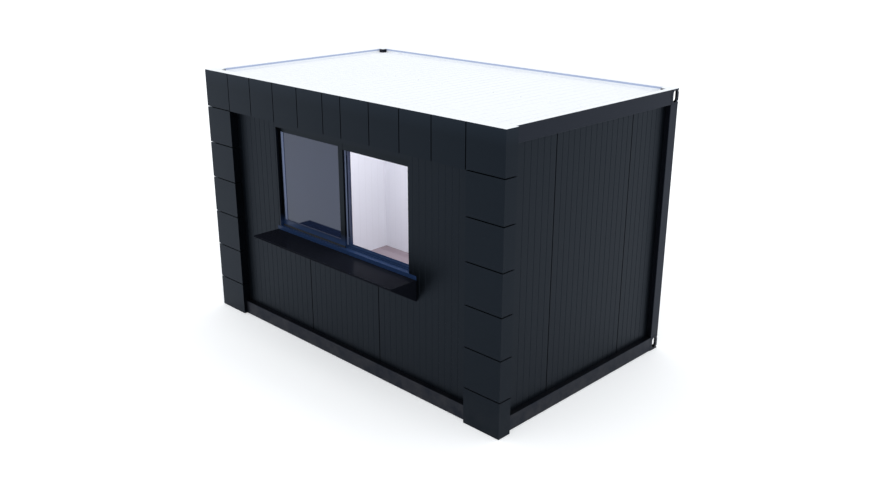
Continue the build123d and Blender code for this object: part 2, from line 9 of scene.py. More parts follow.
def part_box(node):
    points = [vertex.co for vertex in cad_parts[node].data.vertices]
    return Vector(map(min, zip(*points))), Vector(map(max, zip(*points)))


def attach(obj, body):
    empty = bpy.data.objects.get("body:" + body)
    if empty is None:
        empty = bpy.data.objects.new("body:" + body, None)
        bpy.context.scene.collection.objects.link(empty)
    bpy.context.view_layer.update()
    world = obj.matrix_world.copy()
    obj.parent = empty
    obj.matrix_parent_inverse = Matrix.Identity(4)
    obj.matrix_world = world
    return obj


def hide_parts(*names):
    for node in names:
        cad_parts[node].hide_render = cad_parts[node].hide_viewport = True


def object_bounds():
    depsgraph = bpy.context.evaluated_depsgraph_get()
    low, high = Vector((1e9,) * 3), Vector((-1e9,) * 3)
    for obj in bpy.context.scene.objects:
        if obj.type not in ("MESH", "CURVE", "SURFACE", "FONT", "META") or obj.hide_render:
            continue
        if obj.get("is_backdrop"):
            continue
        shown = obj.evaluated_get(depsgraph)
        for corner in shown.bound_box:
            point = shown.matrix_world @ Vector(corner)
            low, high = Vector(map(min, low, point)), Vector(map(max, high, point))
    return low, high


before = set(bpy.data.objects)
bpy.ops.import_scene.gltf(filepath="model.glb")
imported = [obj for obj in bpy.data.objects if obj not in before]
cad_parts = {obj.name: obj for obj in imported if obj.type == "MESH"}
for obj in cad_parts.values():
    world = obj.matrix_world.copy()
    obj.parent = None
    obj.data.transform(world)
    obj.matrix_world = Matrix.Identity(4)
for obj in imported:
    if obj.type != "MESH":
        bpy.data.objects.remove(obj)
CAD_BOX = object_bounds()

# Finishes, small parts, light and camera of a steel container kiosk with a serving window.
# Lengths are in metres, +X runs along the front to the right, +Y to the back, +Z up.

bl_info = {
    "name": "Sales container",
    "version": (1, 0, 0),
    "blender": (4, 5, 0),
    "location": "View3D > Sidebar > Container",
    "description": "Finishes and small parts of a container kiosk with a serving window",
    "category": "Object",
}

BODY = "root"


def low(node):
    """The lowest corner of a node."""
    return Vector(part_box(node)[0])


def high(node):
    """The highest corner of a node."""
    return Vector(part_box(node)[1])


# Settings that a user would change


def colour(name, description, default):
    """A colour setting, in linear light."""
    return FloatVectorProperty(
        name=name, description=description, default=default, subtype="COLOR", size=3, min=0, max=1
    )


def length(name, description, default):
    """A size setting in metres."""
    return FloatProperty(
        name=name, description=description, default=default, unit="LENGTH", min=0, precision=4
    )


def number(name, description, default, **limits):
    """A plain setting from 0 up."""
    return FloatProperty(name=name, description=description, default=default, min=0, **limits)


class ContainerColours(bpy.types.PropertyGroup):
    """Colours of the container's finishes"""

    frame_paint: colour("Frame paint", "Coat of rails, posts and castings", (0.014, 0.0165, 0.0235))
    cladding_paint: colour("Cladding paint", "Coat of the cassettes", (0.0078, 0.0112, 0.016))
    panel_paint: colour("Panel paint", "Coil coat of the ribbed walls", (0.0097, 0.0129, 0.0176))
    window_paint: colour("Window paint", "Coat of outer sash and reveal", (0.0085, 0.0115, 0.015))
    inner_paint: colour("Inner sash paint", "Coat of the inner sash", (0.060, 0.070, 0.115))
    door_paint: colour("Door paint", "Coat of the door leaf", (0.0120, 0.0150, 0.0215))
    counter_paint: colour("Counter paint", "Gloss coat of the counter", (0.007, 0.008, 0.012))
    # Navy: painted blue light from the counter, on the flashing and the foot of the window.
    navy: colour("Navy", "Flashing and foot of the window", (0.0145, 0.0320, 0.0840))
    dust: colour("Dust", "Pale dust low on the walls", (0.30, 0.27, 0.24))
    roof_white: colour("Roof white", "Coat of the roof and its capping", (0.91, 0.92, 0.94))
    # Painted shade: the blue-grey that the rim's upright inner face shows in the sky's light.
    rim_painted_shade: colour("Rim grey", "Inner edge of the roof's rim", (0.42, 0.48, 0.66))
    lining_white: colour("Lining white", "Inner wall boards", (0.80, 0.81, 0.86))
    zinc: colour("Zinc", "Galvanised joists and purlins", (0.48, 0.49, 0.51))
    board_light: colour("Light board", "Pale tone of the floor boards", (0.345, 0.288, 0.320))
    board_dark: colour("Dark board", "Dark tone of the floor boards", (0.245, 0.187, 0.210))
    glass: colour("Glass", "Body colour of the panes", (0.0090, 0.0155, 0.0420))
    seal: colour("Seal", "Brush seals between the sashes", (0.15, 0.18, 0.28))
    bead: colour("Glazing bead", "Beads round the panes", (0.055, 0.062, 0.100))
    # Painted shadow: black of the strip that stands for the shaded gap under the outer sash.
    rubber: colour("Rubber", "Strip under the outer sash", (0.006, 0.006, 0.007))
    # Painted shade: near black of the gaskets that darken the joints.
    foam: colour("Foam", "Gaskets in the joints", (0.0015, 0.0016, 0.002))
    steel: colour("Steel", "Bare steel of screws, lever and hinges", (0.55, 0.56, 0.57))


class ContainerSizes(bpy.types.PropertyGroup):
    """Sizes of the container's small parts"""

    board_length: length("Board length", "Length of a floor board", 1.22)
    board_width: length("Board width", "Width of a floor board", 0.145)
    board_gap: length("Board gap", "Gap between floor boards", 0.0015)
    screw_radius: length("Screw radius", "Radius of a roof screw's washer", 0.009)
    screw_pitch: length("Screw pitch", "Distance between roof screws", 0.300)
    bolt_radius: length("Bolt radius", "Radius of a counter bolt's head", 0.008)
    weld_radius: length("Weld radius", "Radius of a weld bead", 0.0035)
    bead: length("Bead", "Width of a pane's glazing bead", 0.005)
    seed: IntProperty(name="Seed", description="Seed of the boards' tones", default=7, min=0)


class ContainerStage(bpy.types.PropertyGroup):
    """Light, floor and camera"""

    floor_radius: length("Floor radius", "Radius of the pale floor", 70.0)
    floor_colour: colour("Floor colour", "Pale floor", (0.88, 0.885, 0.89))
    floor_lift: number("Floor lift", "White added to the floor that the camera sees", 0.32, max=1)
    horizon: colour("Horizon", "Light from near the horizon", (0.80, 0.90, 1.0))
    horizon_strength: number("Horizon strength", "Strength near the horizon", 1.15)
    zenith: colour("Zenith", "Light from overhead", (0.98, 0.99, 1.0))
    zenith_strength: number("Zenith strength", "Strength overhead", 1.10)
    room_light: number("Room light", "Power of the soft light under the ceiling, in watts", 53.0)


def colours():
    return bpy.context.scene.container_colours


def sizes():
    return bpy.context.scene.container_sizes


def stage_settings():
    return bpy.context.scene.container_stage


# Nodes and shader maths


def socket_of(sockets, key):
    """A socket by place, identifier or name."""
    if isinstance(key, int):
        return sockets[key]
    for socket in sockets:
        if socket.identifier == key:
            return socket
    return sockets[key]


def add_node(tree, kind, settings=None, inputs=None):
    """Add a node to a tree: its settings first, then the values or links of its sockets."""
    made = tree.nodes.new(kind)
    for key, value in (settings or {}).items():
        setattr(made, key, value)
    for key, value in (inputs or {}).items():
        socket = socket_of(made.inputs, key)
        value = getattr(value, "socket", value)
        if isinstance(value, bpy.types.NodeSocket):
            tree.links.new(value, socket)
        elif socket.type == "RGBA" and len(value) == 3:
            socket.default_value = (*value, 1.0)
        else:
            socket.default_value = value
    return made


class Value:
    """A number that changes over a surface, with Math nodes behind its operators."""

    def __init__(self, finish, socket):
        self.finish = finish
        self.socket = socket

    def maths(self, operation, *others, clamp=False):
        settings = {"operation": operation, "use_clamp": clamp}
        inputs = {0: self}
        for place, other in enumerate(others, 1):
            inputs[place] = other
        return self.finish.node("ShaderNodeMath", settings, inputs)

    def __add__(self, other):
        return self.maths("ADD", other)

    __radd__ = __add__

    def __mul__(self, other):
        return self.maths("MULTIPLY", other)

    __rmul__ = __mul__

    def __sub__(self, other):
        return self.maths("SUBTRACT", other)

    def __rsub__(self, other):
        return self.finish.node("ShaderNodeMath", {"operation": "SUBTRACT"}, {0: other, 1: self})

    def __truediv__(self, other):
        return self.maths("DIVIDE", other)

    def repeat(self, period):
        """The distance from the nearest multiple of a period."""
        return self.maths("PINGPONG", period / 2)

    def step(self, edge, soft):
        """0 below an edge and 1 above it, over a soft width."""
        return ((self - (edge - soft / 2)) / soft).maths("ADD", 0.0, clamp=True)

    def within(self, start, end, soft):
        """1 between two edges and 0 outside them."""
        return self.step(start, soft) * (1 - self.step(end, soft))


class Finish:
    """A material under construction: one Principled surface and the nodes that feed it."""

    def __init__(self, name, **constants):
        self.material = bpy.data.materials.new(name)
        self.material.use_nodes = True
        self.tree = self.material.node_tree
        self.tree.nodes.clear()
        self.output = self.tree.nodes.new("ShaderNodeOutputMaterial")
        self.surface = self.tree.nodes.new("ShaderNodeBsdfPrincipled")
        self.tree.links.new(self.surface.outputs[0], self.output.inputs["Surface"])
        for socket, value in constants.items():
            self.surface.inputs[socket.replace("_", " ")].default_value = value
        self.place = self.node("ShaderNodeTexCoord", output="Object")

    def node(self, kind, settings=None, inputs=None, output=0):
        """Add a node and return one of its outputs."""
        return Value(self, socket_of(add_node(self.tree, kind, settings, inputs).outputs, output))

    def feed(self, socket, value):
        """Link a value or a colour to the surface."""
        self.tree.links.new(value.socket, self.surface.inputs[socket])

    def axis(self, name):
        """One coordinate of the surface point, in metres."""
        return self.node("ShaderNodeSeparateXYZ", {}, {0: self.place}, name)

    def noise(self, scale, detail=3.0, roughness=0.5, stretch=None):
        """Noise from 0 to 1, its pattern scaled by a factor on each axis."""
        where = self.place
        if stretch:
            where = self.node(
                "ShaderNodeMapping", {"vector_type": "POINT"}, {"Vector": where, "Scale": stretch}
            )
        return self.node(
            "ShaderNodeTexNoise", {},
            {"Vector": where, "Scale": scale, "Detail": detail, "Roughness": roughness},
        )

    def mix(self, first, second, factor):
        """A colour between two colours."""
        settings = {"data_type": "RGBA", "blend_type": "MIX", "clamp_factor": True}
        inputs = {"Factor_Float": factor, "A_Color": first, "B_Color": second}
        return self.node("ShaderNodeMix", settings, inputs, "Result_Color")

    def tone(self, base, amount, factor):
        """A colour darkened and lightened by a share of itself."""
        dark = tuple(c * (1 - amount) for c in base)
        light = tuple(min(1.0, c * (1 + amount)) for c in base)
        return self.mix(dark, light, factor)

    def bump(self, height, distance, strength=1.0):
        """A bump from a height between 0 and 1, in metres of depth."""
        inputs = {"Height": height, "Distance": distance, "Strength": strength}
        return self.node("ShaderNodeBump", {}, inputs)

    def peel(self, scale, detail, depth):
        """Bump the whole surface with one fine noise."""
        self.feed("Normal", self.bump(self.noise(scale, detail), depth))


# Finishes

COAT_METAL = 0.9  # Metallic of the powder coats, so that their base colour tints the gloss
COAT_IOR = 1.33
COAT_EDGE = (0.80, 0.82, 0.86)  # tint of a coat's gloss at grazing angles
COAT_CLOUDS = 0.07  # how far slow clouds shift a coat's tone
COAT_SPECKS = 0.25  # how far fine specks do
TOP_SHEEN_LIFT = 1.55  # how much paler the painted sheen makes the top of the fascia, standing in for sky light on it
TOP_SHEEN_HEIGHT = 0.16  # over which the painted sheen fades in
DUST_LINE = 0.16  # height at which the dust has half gone
DUST_HEIGHT = 0.30  # over which it goes
DUST_SHARE = 0.06  # dust on the coat where dust is 1
REFLECTION_RISE = 0.125  # height above the counter at which the painted navy reflection has half gone
REFLECTION_HEIGHT = 0.09  # over which it goes
RIM_FOOT = 0.015  # of the rim's flange above the roof sheet that stays white
RIM_EDGE = 0.003  # of the capping's top that stays white
LINING_GROOVE_PITCH = 0.100
LINING_GROOVE = 0.004
GLASS_COVER = 0.975  # Alpha of the panes
GLASS_SHEEN = (0.75, 0.82, 1.0)

FINISHES = {}


def finish_once(make):
    """Make a material on first use and keep it."""

    def wrapped():
        if make.__name__ not in FINISHES:
            FINISHES[make.__name__] = make()
        return FINISHES[make.__name__]

    return wrapped


def satin_coat(name, base, roughness, peel=0.00012, dust=0.35, navy=None, top_sheen=None):
    """A dark powder coat: faint orange peel, cloudy gloss and a little dust near the ground.

    navy gives the share of navy in the coat, a painted reflection of blue light from the counter,
    and the last argument how far a painted sheen pales the coat towards the top.
    """
    coat = Finish(name, Metallic=COAT_METAL, IOR=COAT_IOR, Specular_Tint=(*COAT_EDGE, 1.0))
    clouds = coat.noise(1.7, 4.0)
    specks = coat.noise(900.0, 2.0)
    colour_here = coat.tone(base, COAT_CLOUDS, clouds)
    colour_here = coat.mix(colour_here, coat.tone(base, COAT_SPECKS, specks), 0.3)
    ground = 1 - coat.axis("Z").step(DUST_LINE, DUST_HEIGHT)
    patches = coat.noise(9.0, 5.0, 0.62).step(0.52, 0.30)
    colour_here = coat.mix(
        colour_here, colours().dust, ground * patches * (dust * DUST_SHARE)
    )
    # Painted sheen: the coat paler towards the top, standing in for sky light on the fascia.
    if top_sheen:
        colour_here = coat.mix(colour_here, tuple(c * TOP_SHEEN_LIFT for c in base), top_sheen(coat))
    # Painted reflection: navy where blue light from the counter falls on the coat, fading upwards.
    if navy:
        share = navy(coat)
        colour_here = coat.mix(colour_here, colours().navy, share)
        coat.feed("Metallic", (1 - share) * COAT_METAL)
    coat.feed("Base Color", colour_here)
    coat.feed("Roughness", clouds * 0.06 + specks * 0.04 + (roughness - 0.05))
    coat.peel(420.0, 1.5, peel)
    return coat.material


def painted_top_sheen(coat):
    """A painted sheen: the coat paler towards the top edge of the fascia, standing in for sky light
    on it.
    """
    return coat.axis("Z").step(high("fascia_cassettes").z - 0.06, TOP_SHEEN_HEIGHT)


def painted_navy_reflection(coat):
    """The painted navy reflection of the counter's blue light at the foot of the window, which
    fades upwards.
    """
    rise = coat.axis("Z") - high("counter_top").z
    return 1 - rise.step(REFLECTION_RISE, REFLECTION_HEIGHT)


def grained(name, base, amount, grain, rough, depth, **constants):
    """A plain finish whose tone, gloss and bump all follow one noise.

    grain holds the noise's settings, and rough the least roughness and what the noise adds.
    """
    finish = Finish(name, **constants)
    speck = finish.noise(*grain)
    finish.feed("Base Color", finish.tone(base, amount, speck))
    finish.feed("Roughness", speck * rough[1] + rough[0])
    finish.feed("Normal", finish.bump(speck, depth))
    return finish.material


@finish_once
def frame_coat():
    """Rails, posts and castings."""
    return satin_coat("frame_powder_coat", colours().frame_paint, 0.42, 0.0002, dust=1.4)


@finish_once
def cladding_coat():
    """Folded cassettes round the front."""
    # The fascia's top is paler by a painted sheen.
    return satin_coat("cladding_powder_coat", colours().cladding_paint, 0.36, top_sheen=painted_top_sheen)


@finish_once
def panel_coat():
    """Ribbed wall panels with a fine embossed coil coat."""
    return satin_coat("ribbed_coil_coat", colours().panel_paint, 0.38, 0.00018)


@finish_once
def window_coat():
    """The outer sash and the reveal."""
    paint = colours().window_paint
    # The navy low on the outer sash is a painted reflection of the counter's blue light.
    return satin_coat("window_powder_coat", paint, 0.34, dust=0.0, navy=painted_navy_reflection)


@finish_once
def inner_coat():
    """The inner sash, paler than the outer one."""
    paint = colours().inner_paint
    # The navy low on the inner sash is a painted reflection of the counter's blue light.
    return satin_coat("inner_powder_coat", paint, 0.30, dust=0.0, navy=painted_navy_reflection)


@finish_once
def door_coat():
    """The door leaf in the back wall."""
    return satin_coat("door_powder_coat", colours().door_paint, 0.40)


@finish_once
def counter_gloss():
    """Gloss black coat with fine wipe marks."""
    coat = Finish("counter_gloss_coat", IOR=1.05)
    wipes = coat.noise(26.0, 4.0, 0.6, stretch=(0.25, 2.6, 1.0))
    coat.feed("Base Color", coat.tone(colours().counter_paint, 0.2, wipes))
    coat.feed("Roughness", wipes * 0.10 + 0.14)
    coat.peel(300.0, 1.5, 0.00005)
    return coat.material


@finish_once
def flashing_painted_bounce():
    """Navy coat of the flashing between counter and sill; its navy is painted light, the blue
    thrown up from the counter.
    """
    coat = Finish("navy_flashing_coat", IOR=1.2)
    clouds = coat.noise(3.0, 4.0)
    coat.feed("Base Color", coat.tone(colours().navy, 0.12, clouds))
    coat.feed("Roughness", clouds * 0.1 + 0.3)
    coat.peel(380.0, 1.5, 0.0001)
    return coat.material


@finish_once
def roof_coat():
    """White coated sheet of the roof and its capping, with faint rain marks and painted shade in
    blue-grey on the rim's upright face.
    """
    coat = Finish("white_roof_coat", IOR=1.45)
    marks = coat.noise(5.0, 6.0, 0.6, stretch=(1.0, 0.3, 1.0))
    height = coat.axis("Z")
    # Painted shade: blue-grey on the rim's upright face between the white foot and top.
    upstand = height.within(
        high("roof_sheet").z + RIM_FOOT, high("roof_capping").z - RIM_EDGE, 0.001
    )
    plain = coat.tone(colours().roof_white, 0.015, marks)
    rim = coat.tone(colours().rim_painted_shade, 0.03, marks)
    coat.feed("Base Color", coat.mix(plain, rim, upstand))
    coat.feed("Roughness", marks * 0.12 + 0.42)
    coat.peel(260.0, 2.0, 0.0001)
    return coat.material


@finish_once
def sealant_bead():
    """White sealant."""
    white = colours().roof_white
    return grained("white_sealant", white, 0.03, (120.0, 2.0), (0.45, 0.2), 0.0004, IOR=1.4)


@finish_once
def lining_board():
    """White laminated boards with fine upright grooves, which are darkened as painted shade."""
    board = Finish("white_lining_board", IOR=1.45)
    along = board.axis("X") + board.axis("Y")
    groove = 1 - along.repeat(LINING_GROOVE_PITCH).step(LINING_GROOVE / 2, LINING_GROOVE / 2)
    base = colours().lining_white
    grain = board.noise(40.0, 3.0)
    plain = board.tone(base, 0.012, grain)
    # Painted shade: the grooves darker than the board.
    board.feed("Base Color", board.mix(plain, tuple(c * 0.86 for c in base), groove * 0.6))
    board.feed("Roughness", grain * 0.08 + 0.42)
    board.feed("Normal", board.bump(1 - groove, 0.0008, 0.8))
    return board.material


@finish_once
def zinc_coat():
    """Galvanised steel with its spangle."""
    coat = Finish("galvanised_steel", Metallic=0.85, IOR=1.5)
    spangle = coat.node(
        "ShaderNodeTexVoronoi", {"feature": "F1"}, {"Vector": coat.place, "Scale": 90.0}, "Color"
    )
    tone = coat.node("ShaderNodeSeparateXYZ", {}, {0: spangle}, 0)
    coat.feed("Base Color", coat.tone(colours().zinc, 0.14, tone))
    coat.feed("Roughness", tone * 0.18 + 0.36)
    coat.peel(500.0, 2.0, 0.00008)
    return coat.material


@finish_once
def board_wood():
    """Floor boards: long grain, knots' clouds and a tone of its own for each board."""
    wood = Finish("floor_board_wood", IOR=1.45)
    tone = wood.node(
        "ShaderNodeAttribute", {"attribute_type": "GEOMETRY", "attribute_name": "board_tone"}, {}, 2
    )
    grain = wood.noise(22.0, 6.0, 0.65, stretch=(0.12, 1.6, 1.0))
    pores = wood.noise(160.0, 3.0, 0.6, stretch=(0.05, 1.5, 1.0))
    blend = tone * 0.5 + grain * 0.45 + pores * 0.15 - 0.05
    wood.feed("Base Color", wood.mix(
        colours().board_light, colours().board_dark, blend
    ))
    wood.feed("Roughness", pores * 0.15 + 0.42)
    wood.feed("Normal", wood.bump(pores, 0.0002))
    return wood.material


@finish_once
def pane_glass():
    """Dark tinted glass with a faint smear of cleaning marks."""
    glass = Finish("tinted_glass", IOR=1.62, Specular_Tint=(*GLASS_SHEEN, 1.0))
    smear = glass.noise(7.0, 4.0, 0.6, stretch=(1.0, 1.0, 0.4))
    glass.feed("Base Color", glass.tone(colours().glass, 0.2, smear))
    glass.feed("Roughness", smear * 0.05 + 0.02)
    glass.feed("Alpha", smear * 0.01 + GLASS_COVER)
    return glass.material


@finish_once
def brush_seal():
    """Pale pile of the seals: fine upright fibres."""
    fibres = (900.0, 2.0, 0.5, (1.0, 1.0, 0.08))
    return grained("brush_seal", colours().seal, 0.22, fibres, (0.6, 0.2), 0.0006, IOR=1.4)


@finish_once
def glazing_bead():
    """Grey beads that hold the panes."""
    grain = (500.0, 2.0)
    return grained("glazing_bead", colours().bead, 0.2, grain, (0.45, 0.2), 0.0001, IOR=1.4)


@finish_once
def rubber():
    """Black rubber."""
    grain = (600.0, 2.0)
    return grained("black_rubber", colours().rubber, 0.3, grain, (0.55, 0.2), 0.0001, IOR=1.5)


@finish_once
def joint_shade_foam():
    """Near-black foam set in the joints as painted shade: its black stands in for the shade deep in
    the gaps.
    """
    cells = (700.0, 2.0)
    return grained("joint_shade_foam", colours().foam, 0.4, cells, (0.85, 0.1), 0.0004, IOR=1.02)


@finish_once
def brushed_steel():
    """Bare steel with fine turning marks."""
    lines = (700.0, 2.0, 0.5, (1.0, 1.0, 0.05))
    return grained(
        "brushed_steel", colours().steel, 0.12, lines, (0.24, 0.16), 0.00004,
        Metallic=1.0, IOR=1.5,
    )


# Meshes

SAME_PLACE = 1e-5  # corners nearer than this are one corner
SHORTEST_JOINT = 0.1


def put(name, data):
    """A new object in the scene."""
    made = bpy.data.objects.new(name, data)
    bpy.context.scene.collection.objects.link(made)
    return made


def new_piece(name, mesh, material, slot, replaced=()):
    """Put a finished mesh in the scene, riding on the container."""
    piece = put(name, mesh)
    if material:
        mesh.materials.clear()
        mesh.materials.append(material)
    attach(piece, BODY)
    if replaced:
        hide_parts(*replaced)
    return piece


def dress(nodes, material):
    """Give carried-over CAD nodes their finish."""
    for name in nodes:
        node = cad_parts[name]
        if not node.data.materials:
            node.data.materials.append(material)
        for place in range(len(node.material_slots)):
            node.material_slots[place].material = material


def solids_of(node):
    """The low and high corners of each separate solid of a CAD node."""
    shape = bmesh.new()
    shape.from_mesh(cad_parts[node].data)
    bmesh.ops.remove_doubles(shape, verts=shape.verts, dist=SAME_PLACE)
    left = set(shape.verts)
    found = []
    while left:
        grown = [left.pop()]
        for vert in grown:
            near = {edge.other_vert(vert) for edge in vert.link_edges} & left
            left -= near
            grown += near
        found.append(tuple(
            tuple(pick(vert.co[axis] for vert in grown) for axis in range(3))
            for pick in (min, max)
        ))
    shape.free()
    return sorted(found)


def joints(nodes, axis):
    """Upright joints between neighbouring solids along an axis.

    Each is the joint's middle and the two heights between which it runs.
    """
    solids = [solid for node in nodes for solid in solids_of(node)]
    found = []
    for one in solids:
        for other in solids:
            gap = other[0][axis] - one[1][axis]
            bottom, top = max(one[0][2], other[0][2]), min(one[1][2], other[1][2])
            if 0 < gap < WIDEST_GAP and top - bottom > SHORTEST_JOINT:
                found.append((one[1][axis] + gap / 2, bottom, top))
    return sorted(found)


class Solid:
    """A mesh put together from bevelled boxes and cylinders."""

    def __init__(self):
        self.mesh = bmesh.new()

    def take(self, part):
        """Join another bmesh and free it."""
        kept = bpy.data.meshes.new("part")
        part.to_mesh(kept)
        part.free()
        self.mesh.from_mesh(kept)
        bpy.data.meshes.remove(kept)

    def box(self, start, end, bevel=0.0):
        """A box between two corners, with rounded edges."""
        part = bmesh.new()
        start, end = Vector(start), Vector(end)
        bmesh.ops.create_cube(part, size=1.0)
        size = end - start
        place = Matrix.Translation((start + end) / 2) @ Matrix.Diagonal((*size, 1.0))
        bmesh.ops.transform(part, matrix=place, verts=part.verts)
        if bevel:
            bmesh.ops.bevel(
                part, geom=part.edges[:], offset=bevel, segments=2, profile=0.6,
                affect="EDGES", clamp_overlap=True,
            )
        self.take(part)

    def rod(self, start, end, radius, sides):
        """A cylinder between two points."""
        part = bmesh.new()
        start, end = Vector(start), Vector(end)
        along = end - start
        bmesh.ops.create_cone(
            part, cap_ends=True, segments=sides, radius1=radius, radius2=radius,
            depth=along.length,
        )
        turn = along.to_track_quat("Z", "Y").to_matrix().to_4x4()
        place = Matrix.Translation((start + end) / 2) @ turn
        bmesh.ops.transform(part, matrix=place, verts=part.verts)
        self.take(part)

    def finished(self, name):
        """The mesh, with its faces turned outwards."""
        bmesh.ops.recalc_face_normals(self.mesh, faces=self.mesh.faces)
        mesh = bpy.data.meshes.new(name)
        self.mesh.to_mesh(mesh)
        self.mesh.free()
        return mesh

    def place(self, name, material, slot):
        """End as a piece of the container."""
        new_piece(name, self.finished(name), material, slot)


class Recipe:
    """A Geometry Nodes tree with named inputs, ending in real meshes with a material."""

    def __init__(self, name):
        self.tree = bpy.data.node_groups.new(name, "GeometryNodeTree")
        for way in ("INPUT", "OUTPUT"):
            self.tree.interface.new_socket(
                "Geometry", in_out=way, socket_type="NodeSocketGeometry"
            )
        self.inputs = self.tree.nodes.new("NodeGroupInput")
        self.result = self.tree.nodes.new("NodeGroupOutput")
        self.values = {}

    def settings(self, **values):
        """Named inputs and their values: ints, floats or a material."""
        kinds = {bpy.types.Material: "NodeSocketMaterial", int: "NodeSocketInt"}
        for name, value in values.items():
            kind = kinds.get(type(value), "NodeSocketFloat")
            made = self.tree.interface.new_socket(
                name.replace("_", " "), in_out="INPUT", socket_type=kind
            )
            self.values[made.identifier] = value
        return [self.inputs.outputs[name.replace("_", " ")] for name in values]

    def node(self, kind, settings=None, inputs=None, output=0):
        """Add a node and return one of its outputs."""
        return socket_of(add_node(self.tree, kind, settings, inputs).outputs, output)

    def sum(self, first, second, operation="ADD"):
        return self.node("ShaderNodeMath", {"operation": operation}, {0: first, 1: second})

    def times(self, first, second):
        return self.sum(first, second, "MULTIPLY")

    def curve(self):
        """The base mesh's runs as curves."""
        return self.node(
            "GeometryNodeMeshToCurve", inputs={"Mesh": self.inputs.outputs["Geometry"]}
        )

    def cone(self, sides, foot, taper, height):
        """A flat-topped cone whose top is a share of its foot's radius."""
        return self.node(
            "GeometryNodeMeshCone", {"fill_type": "NGON"},
            {"Vertices": sides, "Radius Top": self.times(foot, taper),
             "Radius Bottom": foot, "Depth": height},
        )

    def finish(self, geometry, material):
        """End the tree in Realize Instances and Set Material."""
        real = self.node("GeometryNodeRealizeInstances", inputs={"Geometry": geometry})
        painted = self.node(
            "GeometryNodeSetMaterial", inputs={"Geometry": real, "Material": material}
        )
        self.tree.links.new(painted, self.result.inputs["Geometry"])

    def grow(self, name, base):
        """Run the tree on a base mesh and return the plain mesh that it makes."""
        holder = put(name, base)
        modifier = holder.modifiers.new(name, "NODES")
        modifier.node_group = self.tree
        for identifier, value in self.values.items():
            modifier[identifier] = value
        bpy.context.view_layer.update()
        graph = bpy.context.evaluated_depsgraph_get()
        seen = holder.evaluated_get(graph)
        mesh = bpy.data.meshes.new_from_object(
            seen, preserve_all_data_layers=True, depsgraph=graph
        )
        holder.modifiers.remove(modifier)
        bpy.data.objects.remove(holder)
        mesh.name = name
        return mesh

    def lay(self, name, slot, runs, facing=(0, 0, 1), replaced=()):
        """Run the tree along some runs and put the result in the scene."""
        base = runs_mesh(f"{name}_runs", runs, facing)
        new_piece(name, self.grow(name, base), None, slot, replaced)


def runs_mesh(name, runs, facing):
    """A mesh of separate straight runs, each with the way that its fasteners face."""
    mesh = bpy.data.meshes.new(name)
    points = []
    edges = []
    for start, end in runs:
        edges.append((len(points), len(points) + 1))
        points += [start, end]
    mesh.from_pydata(points, edges, [])
    away = mesh.attributes.new("facing", "FLOAT_VECTOR", "POINT")
    for point in away.data:
        point.vector = facing
    return mesh


HEAD_TAPER = 0.72
HEAD_LIFT = 0.3
WASHER_TAPER = 0.86
WASHER_HEIGHT = 0.35
WASHER_SIDES = 16


def fastener_recipe(pitch, radius, height, sides, washer, material):
    """Heads on washers at an even pitch along runs, facing their own way."""
    recipe = Recipe("fastener_rows")
    pitch, radius, height, sides, washer, material = recipe.settings(
        Pitch=pitch, Head_Radius=radius, Head_Height=height, Head_Sides=sides,
        Washer_Radius=washer, Material=material,
    )
    points = recipe.node(
        "GeometryNodeCurveToPoints", {"mode": "LENGTH"},
        {"Curve": recipe.curve(), "Length": pitch}, "Points",
    )
    facing = recipe.node(
        "GeometryNodeInputNamedAttribute", {"data_type": "FLOAT_VECTOR"}, {"Name": "facing"}, 0
    )
    turn = recipe.node("FunctionNodeAlignRotationToVector", {"axis": "Z"}, {"Vector": facing})
    head = recipe.cone(sides, radius, HEAD_TAPER, height)
    plate = recipe.cone(WASHER_SIDES, washer, WASHER_TAPER, recipe.times(height, WASHER_HEIGHT))
    lift = recipe.node("ShaderNodeCombineXYZ", {}, {"Z": recipe.times(height, HEAD_LIFT)})
    raised = recipe.node(
        "GeometryNodeTransform", inputs={"Geometry": head, "Translation": lift}
    )
    both = recipe.tree.nodes.new("GeometryNodeJoinGeometry")
    for part in (plate, raised):
        recipe.tree.links.new(part, both.inputs[0])
    rows = recipe.node(
        "GeometryNodeInstanceOnPoints",
        inputs={"Points": points, "Instance": both.outputs[0], "Rotation": turn},
    )
    recipe.finish(rows, material)
    return recipe


WELD_RIPPLE = 0.004
WELD_WAVE = 0.35  # share of the radius by which every other ripple is thinner
WELD_SIDES = 6
WELD_SEAT = 0.3  # share of the radius by which a bead's middle lies under the face


def weld_recipe(radius, material):
    """Rippled beads along runs."""
    recipe = Recipe("weld_beads")
    radius, ripple, material = recipe.settings(
        Bead_Radius=radius, Ripple_Pitch=WELD_RIPPLE, Material=material
    )
    fine = recipe.node(
        "GeometryNodeResampleCurve", {"mode": "LENGTH"},
        {"Curve": recipe.curve(), "Length": ripple},
    )
    index = recipe.node("GeometryNodeInputIndex")
    wave = recipe.times(recipe.sum(index, 2.0, "MODULO"), WELD_WAVE)
    thick = recipe.times(radius, recipe.sum(1.0, wave, "SUBTRACT"))
    sized = recipe.node("GeometryNodeSetCurveRadius", inputs={"Curve": fine, "Radius": thick})
    ring = recipe.node(
        "GeometryNodeCurvePrimitiveCircle", {"mode": "RADIUS"},
        {"Resolution": WELD_SIDES, "Radius": 1.0},
    )
    beads = recipe.node(
        "GeometryNodeCurveToMesh",
        inputs={"Curve": sized, "Profile Curve": ring, "Fill Caps": True, "Scale": thick},
    )
    recipe.finish(beads, material)
    return recipe


ROW_SHIFT = 0.382  # of a board's length, from one row to the next
SHORTEST_BOARD = 0.02


